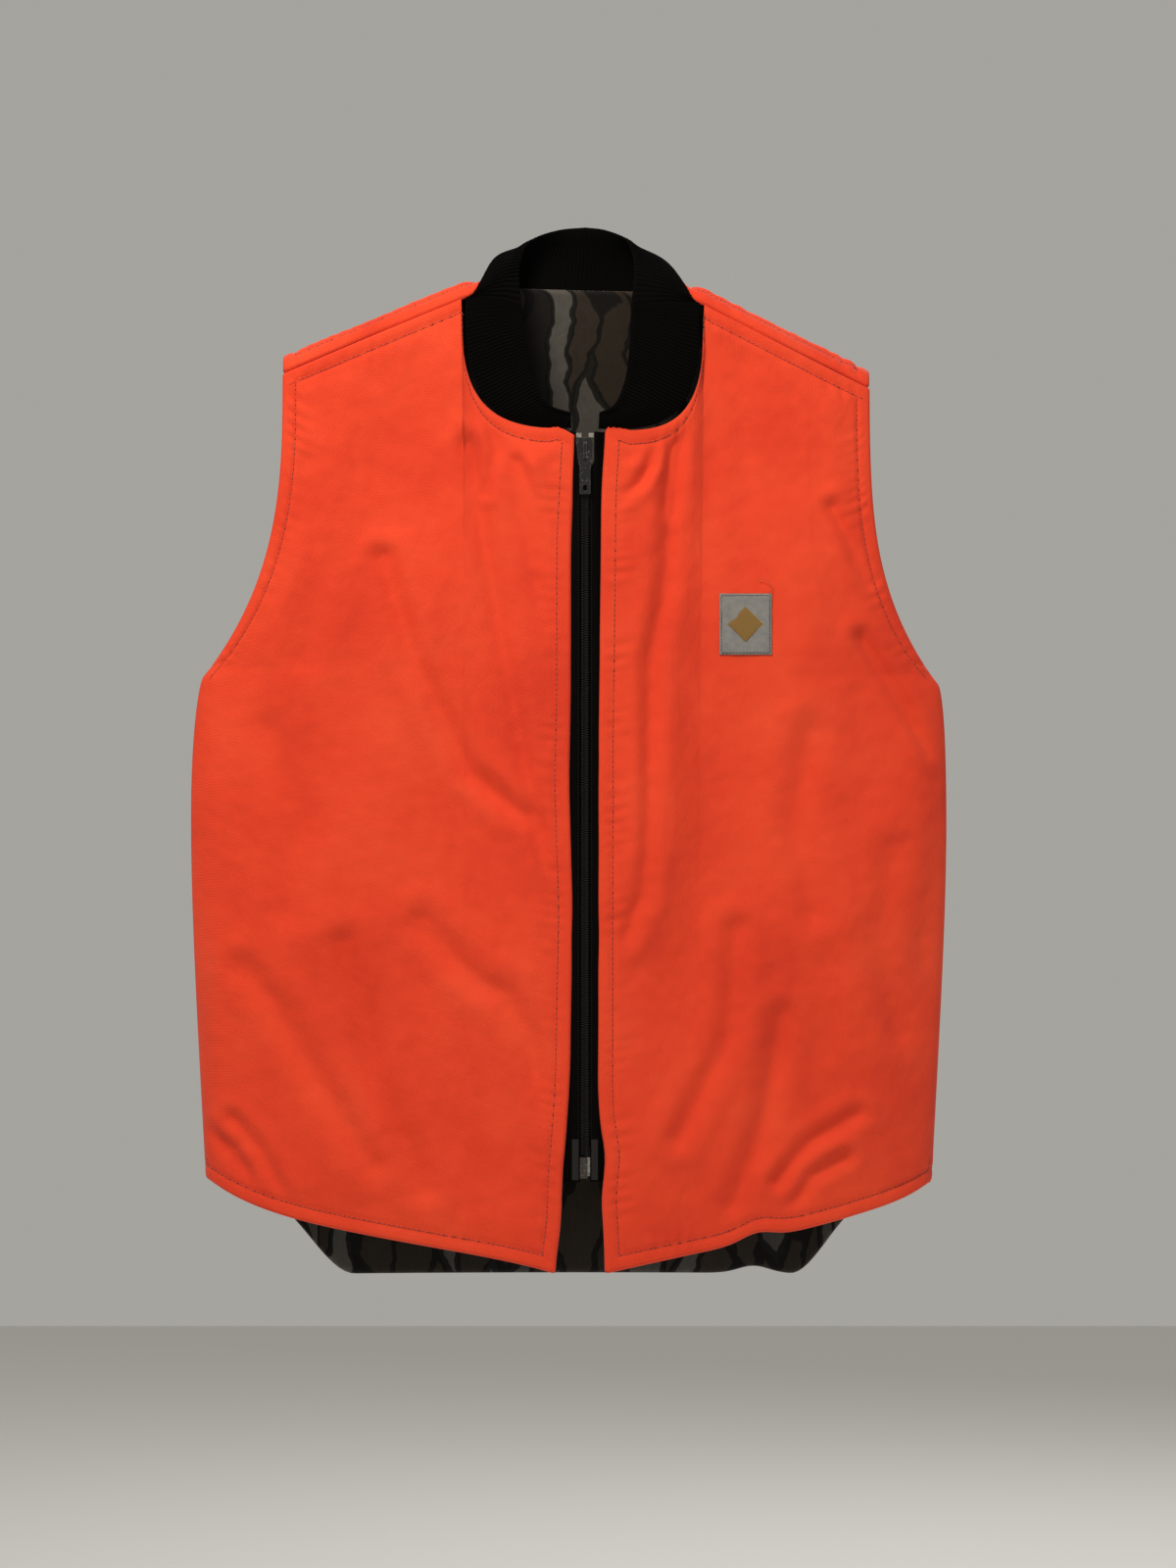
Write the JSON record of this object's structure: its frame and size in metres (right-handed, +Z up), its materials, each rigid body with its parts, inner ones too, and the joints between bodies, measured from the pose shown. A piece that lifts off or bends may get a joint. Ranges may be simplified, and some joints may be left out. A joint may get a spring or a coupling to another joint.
{
  "type": "insulated work vest",
  "caption": "Sleeveless blaze orange insulated vest: rib-knit collar, separating zipper with slider and pull, chest patch, drop tail, in its hung shape.",
  "frame": {"origin": "on the zipper line, 10 mm above the neck end of the shoulder seams, in the plane of the shoulder ridge, where a hanger carries the vest", "axes": "+X to the wearer's left, +Y from chest to back, +Z up from hem to collar"},
  "size_m": [0.5102, 0.1118, 0.7109],
  "materials": {
    "orange_twill": "matte",
    "wadding": "matte",
    "camo_lining": "matte",
    "black_rib_knit": "matte",
    "zipper_tape": "matte",
    "nylon_coil": "satin",
    "black_enamel": "satin",
    "bare_metal": "satin",
    "clear_film": "gloss",
    "woven_patch": "matte",
    "ochre_thread": "matte"
  },
  "bodies": {
    "body": {"back_shell": "orange_twill", "back_padding": "wadding", "back_lining": "camo_lining", "left_side_shell": "orange_twill", "right_side_shell": "orange_twill", "left_side_padding": "wadding", "right_side_padding": "wadding", "left_side_lining": "camo_lining", "right_side_lining": "camo_lining", "collar_back": "black_rib_knit", "chest_patch": "woven_patch", "patch_emblem": "ochre_thread"},
    "right_front": {"right_front_shell": "orange_twill", "right_front_padding": "wadding", "right_front_lining": "camo_lining", "right_collar_front": "black_rib_knit", "right_zipper_tape": "zipper_tape", "right_chain": "nylon_coil", "right_top_stop": "bare_metal", "right_tape_film": "clear_film", "retainer_box": "bare_metal"},
    "left_front": {"left_front_shell": "orange_twill", "left_front_padding": "wadding", "left_front_lining": "camo_lining", "left_collar_front": "black_rib_knit", "left_zipper_tape": "zipper_tape", "left_chain": "nylon_coil", "left_top_stop": "bare_metal", "left_tape_film": "clear_film", "insertion_pin": "bare_metal"},
    "slider": {"slider": "black_enamel"},
    "pull_tab": {"pull_tab": "black_enamel"}
  },
  "joints": [
    {"name": "right_front_opens", "type": "hinge", "parent": "body", "child": "right_front", "pos_m": [-0.086, -0.013, -0.01], "axis": [0, -0.0597, -0.9982], "range_deg": [0, 65]},
    {"name": "left_front_opens", "type": "hinge", "parent": "body", "child": "left_front", "pos_m": [0.086, -0.013, -0.01], "axis": [0, 0.0597, 0.9982], "range_deg": [0, 65]},
    {"name": "slider_runs", "type": "slide", "parent": "right_front", "child": "slider", "axis": [0, -0.0597, -0.9982], "range_m": [0, 0.4615], "deforming": ["left_chain", "right_chain"]},
    {"name": "pull_tab_swings", "type": "hinge", "parent": "slider", "child": "pull_tab", "pos_m": [0, -0.02885, -0.11446], "axis": [-1, 0, 0], "range_deg": [0, 130]}
  ],
  "couplings": [
    {"joint": "left_front_opens", "follows": "right_front_opens", "ratio": 1}
  ]
}
